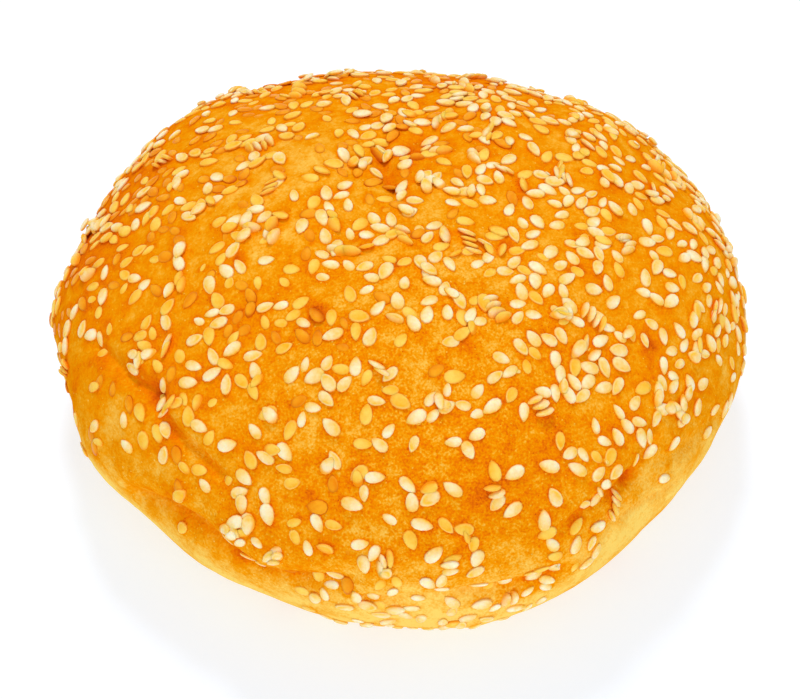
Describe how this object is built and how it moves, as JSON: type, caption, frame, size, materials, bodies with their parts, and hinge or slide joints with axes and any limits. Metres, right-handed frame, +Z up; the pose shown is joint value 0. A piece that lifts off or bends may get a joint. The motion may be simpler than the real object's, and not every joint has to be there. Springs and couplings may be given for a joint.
{
  "type": "sesame burger bun",
  "caption": "Round, domed burger bun, uncut, with sesame seeds baked onto its crown, creased sides and a flat underside.",
  "frame": {"origin": "on the flat underside, below the middle of the bun's box", "axes": "+X along the longer way across, +Y to the back, +Z up through the crown"},
  "size_m": [0.1158, 0.1064, 0.0494],
  "materials": {
    "crust": "baked golden crust, satin",
    "sesame": "toasted hulled sesame seed, satin"
  },
  "bodies": {
    "root": {"bun": "crust"}
  },
  "joints": []
}
